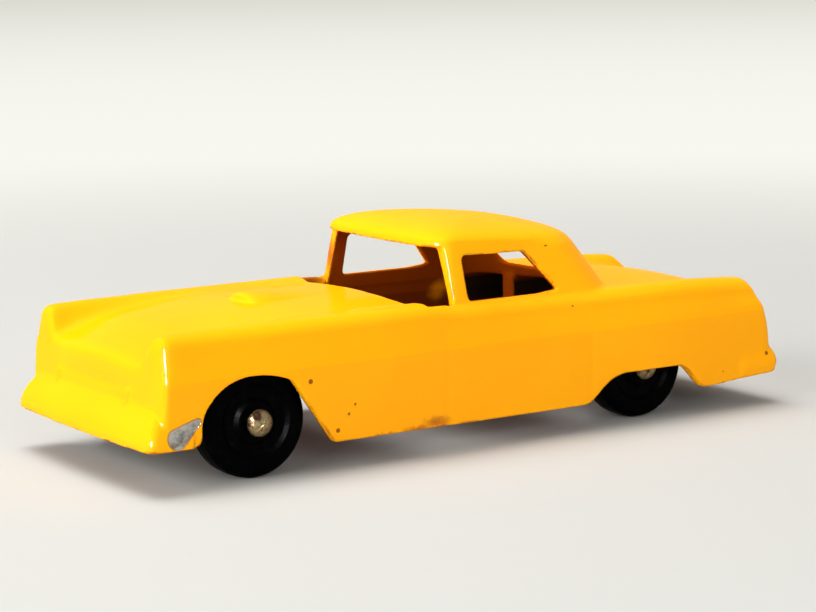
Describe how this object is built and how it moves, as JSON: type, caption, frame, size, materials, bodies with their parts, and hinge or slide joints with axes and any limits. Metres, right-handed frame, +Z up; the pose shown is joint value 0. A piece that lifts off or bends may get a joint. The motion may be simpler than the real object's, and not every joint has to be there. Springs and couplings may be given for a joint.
{
  "type": "die-cast toy car",
  "caption": "Small one-piece die-cast toy coupe with open windows, a hollow underside, headed steel axles and solid free-rolling wheels.",
  "frame": {"origin": "on the floor under the middle of the car, at the bottom centre of its box", "axes": "+X toward the front of the car, +Y to its left side, +Z up"},
  "size_m": [0.0772, 0.0286, 0.0222],
  "materials": {
    "enamel": "glossy yellow enamel on zinc, chipped at the edges",
    "axle_steel": "plain steel, peened heads, a little rust",
    "wheel_black": "satin black"
  },
  "bodies": {
    "casting": {"body_casting": "enamel", "front_axle": "axle_steel", "rear_axle": "axle_steel"},
    "front_left": {"front_left_wheel": "wheel_black"},
    "front_right": {"front_right_wheel": "wheel_black"},
    "rear_left": {"rear_left_wheel": "wheel_black"},
    "rear_right": {"rear_right_wheel": "wheel_black"}
  },
  "joints": [
    {"name": "front_left_roll", "type": "hinge", "parent": "casting", "child": "front_left", "pos_m": [0.0259, 0.0109, 0.00555], "axis": [0, 1, 0], "continuous": true},
    {"name": "front_right_roll", "type": "hinge", "parent": "casting", "child": "front_right", "pos_m": [0.0259, -0.0109, 0.00555], "axis": [0, 1, 0], "continuous": true},
    {"name": "rear_left_roll", "type": "hinge", "parent": "casting", "child": "rear_left", "pos_m": [-0.0214, 0.0099, 0.00555], "axis": [0, 1, 0], "continuous": true},
    {"name": "rear_right_roll", "type": "hinge", "parent": "casting", "child": "rear_right", "pos_m": [-0.0214, -0.0099, 0.00555], "axis": [0, 1, 0], "continuous": true}
  ]
}
